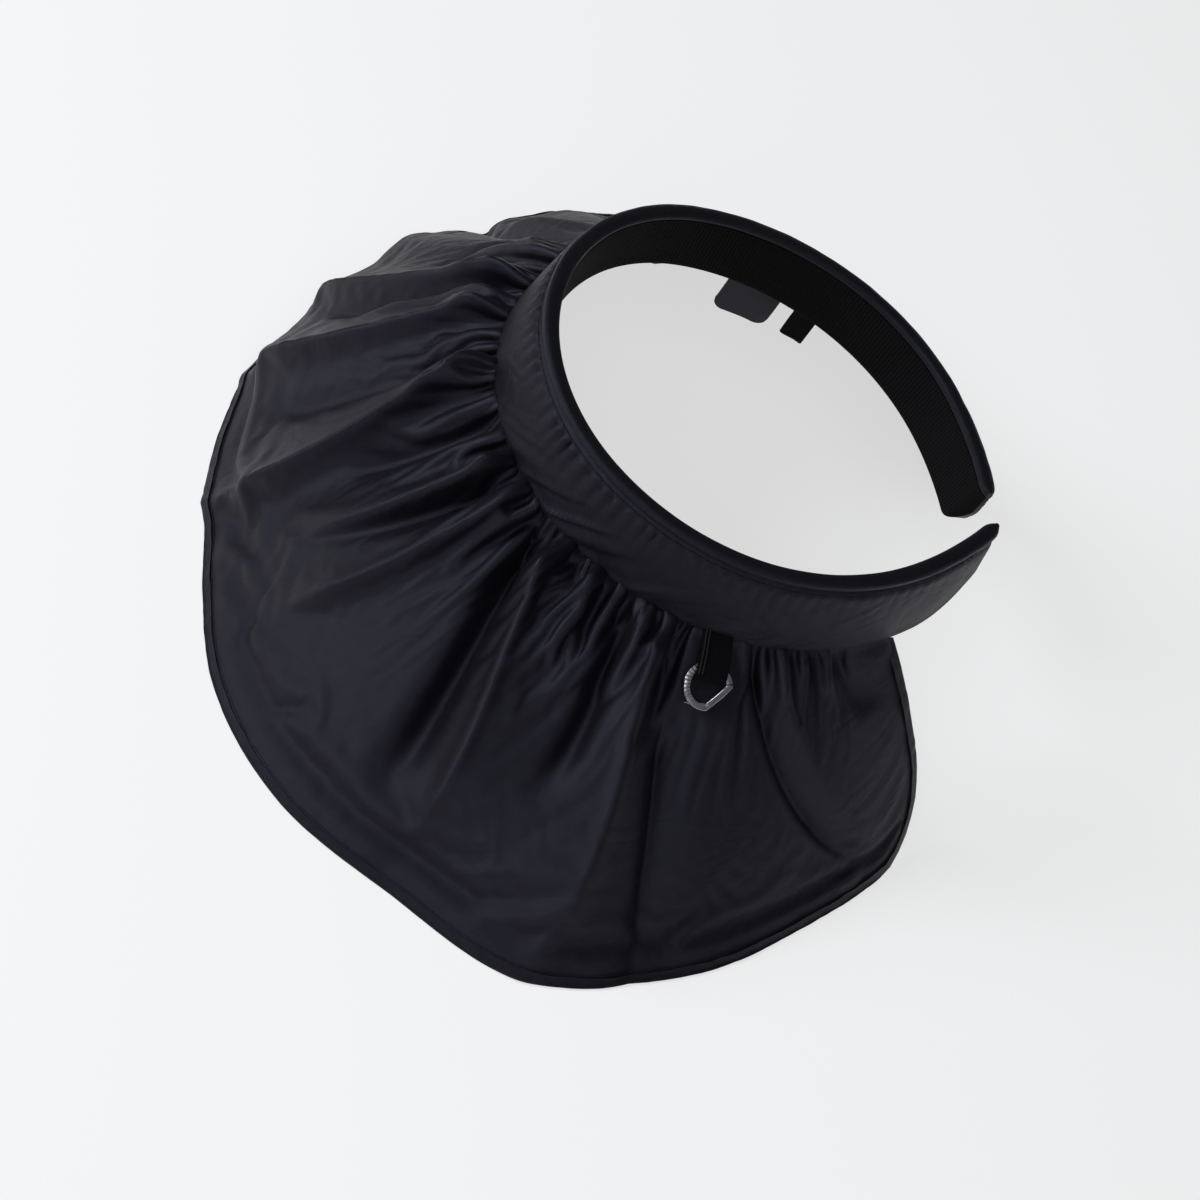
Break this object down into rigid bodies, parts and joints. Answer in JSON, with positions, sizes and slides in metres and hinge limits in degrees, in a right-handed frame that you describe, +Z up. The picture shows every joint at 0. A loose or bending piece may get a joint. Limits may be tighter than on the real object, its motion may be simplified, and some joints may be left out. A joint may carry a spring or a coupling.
{
  "type": "open-top sun hat",
  "caption": "Open-top sun hat: a C-shaped padded headband, open at the back, with a wide gathered cloth brim, ribbed lining and a small webbing loop with a D-ring.",
  "frame": {"origin": "on the surface that the hat rests on, under the middle of its bounding box", "axes": "+X to the wearer's left, -Y to the front of the hat, +Z up; the hem lies on Z = 0 and the headband leans back over it"},
  "size_m": [0.394, 0.3021, 0.1308],
  "materials": {
    "brim_cloth": "smooth satin-like woven cloth",
    "binding_cloth": "folded satin-like cloth strip",
    "band_cloth": "satin-like cloth over padding",
    "rim_cloth": "smooth rolled cloth edge",
    "lining_cloth": "matt ribbed knit",
    "webbing": "matt woven tape",
    "ring_metal": "dark bright-plated metal",
    "label_cloth": "thin satin label, blank"
  },
  "bodies": {
    "root": {"brim": "brim_cloth", "hem_binding": "binding_cloth", "band": "band_cloth", "rim": "rim_cloth", "lining": "lining_cloth", "ring_tab": "webbing", "d_ring": "ring_metal", "care_label": "label_cloth", "loop_tab": "webbing"}
  },
  "joints": []
}
